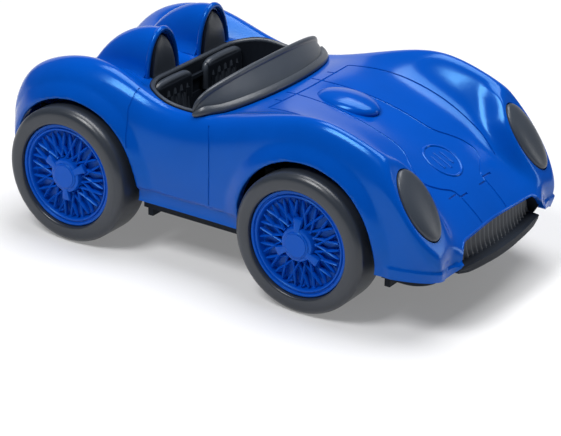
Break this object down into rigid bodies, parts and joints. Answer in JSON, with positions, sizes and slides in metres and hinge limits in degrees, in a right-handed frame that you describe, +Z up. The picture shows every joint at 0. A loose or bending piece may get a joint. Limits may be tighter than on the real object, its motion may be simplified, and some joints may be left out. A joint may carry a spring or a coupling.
{
  "type": "toy roadster",
  "caption": "Push-along toy racing roadster: moulded shell with headrest humps, open cockpit, wind deflector, chassis and free-rolling wire-spoked wheels.",
  "frame": {"origin": "on the ground under the middle of the car", "axes": "+X towards the nose, +Y towards the car's left side, +Z up"},
  "size_m": [0.2626, 0.144, 0.1071],
  "materials": {
    "blue_body": "glossy saturated blue moulded plastic",
    "blue_wheel": "satin-gloss blue moulded plastic",
    "grey_trim": "satin blue-grey moulded plastic",
    "dark_interior": "matt near-black grey moulded plastic",
    "tyre_grey": "satin mid-grey moulded plastic, fine moulding grain",
    "axle_grey": "dark grey moulded plastic"
  },
  "bodies": {
    "car": {"body_shell": "blue_body", "chassis": "dark_interior", "cockpit_tub": "dark_interior", "headrest_left": "grey_trim", "headrest_right": "grey_trim", "windscreen": "grey_trim", "grille": "grey_trim", "headlight_left": "grey_trim", "headlight_right": "grey_trim"},
    "front_wheels": {"axle_front": "axle_grey", "tyre_front_left": "tyre_grey", "tyre_front_right": "tyre_grey", "wheel_front_left": "blue_wheel", "wheel_front_right": "blue_wheel", "hub_cap_front_left": "blue_wheel", "hub_cap_front_right": "blue_wheel"},
    "rear_wheels": {"axle_rear": "axle_grey", "tyre_rear_left": "tyre_grey", "tyre_rear_right": "tyre_grey", "wheel_rear_left": "blue_wheel", "wheel_rear_right": "blue_wheel", "hub_cap_rear_left": "blue_wheel", "hub_cap_rear_right": "blue_wheel"}
  },
  "joints": [
    {"name": "front_wheels_roll", "type": "hinge", "parent": "car", "child": "front_wheels", "pos_m": [0.056, 0, 0.036], "axis": [0, 1, 0], "continuous": true},
    {"name": "rear_wheels_roll", "type": "hinge", "parent": "car", "child": "rear_wheels", "pos_m": [-0.084, 0, 0.036], "axis": [0, 1, 0], "continuous": true}
  ]
}
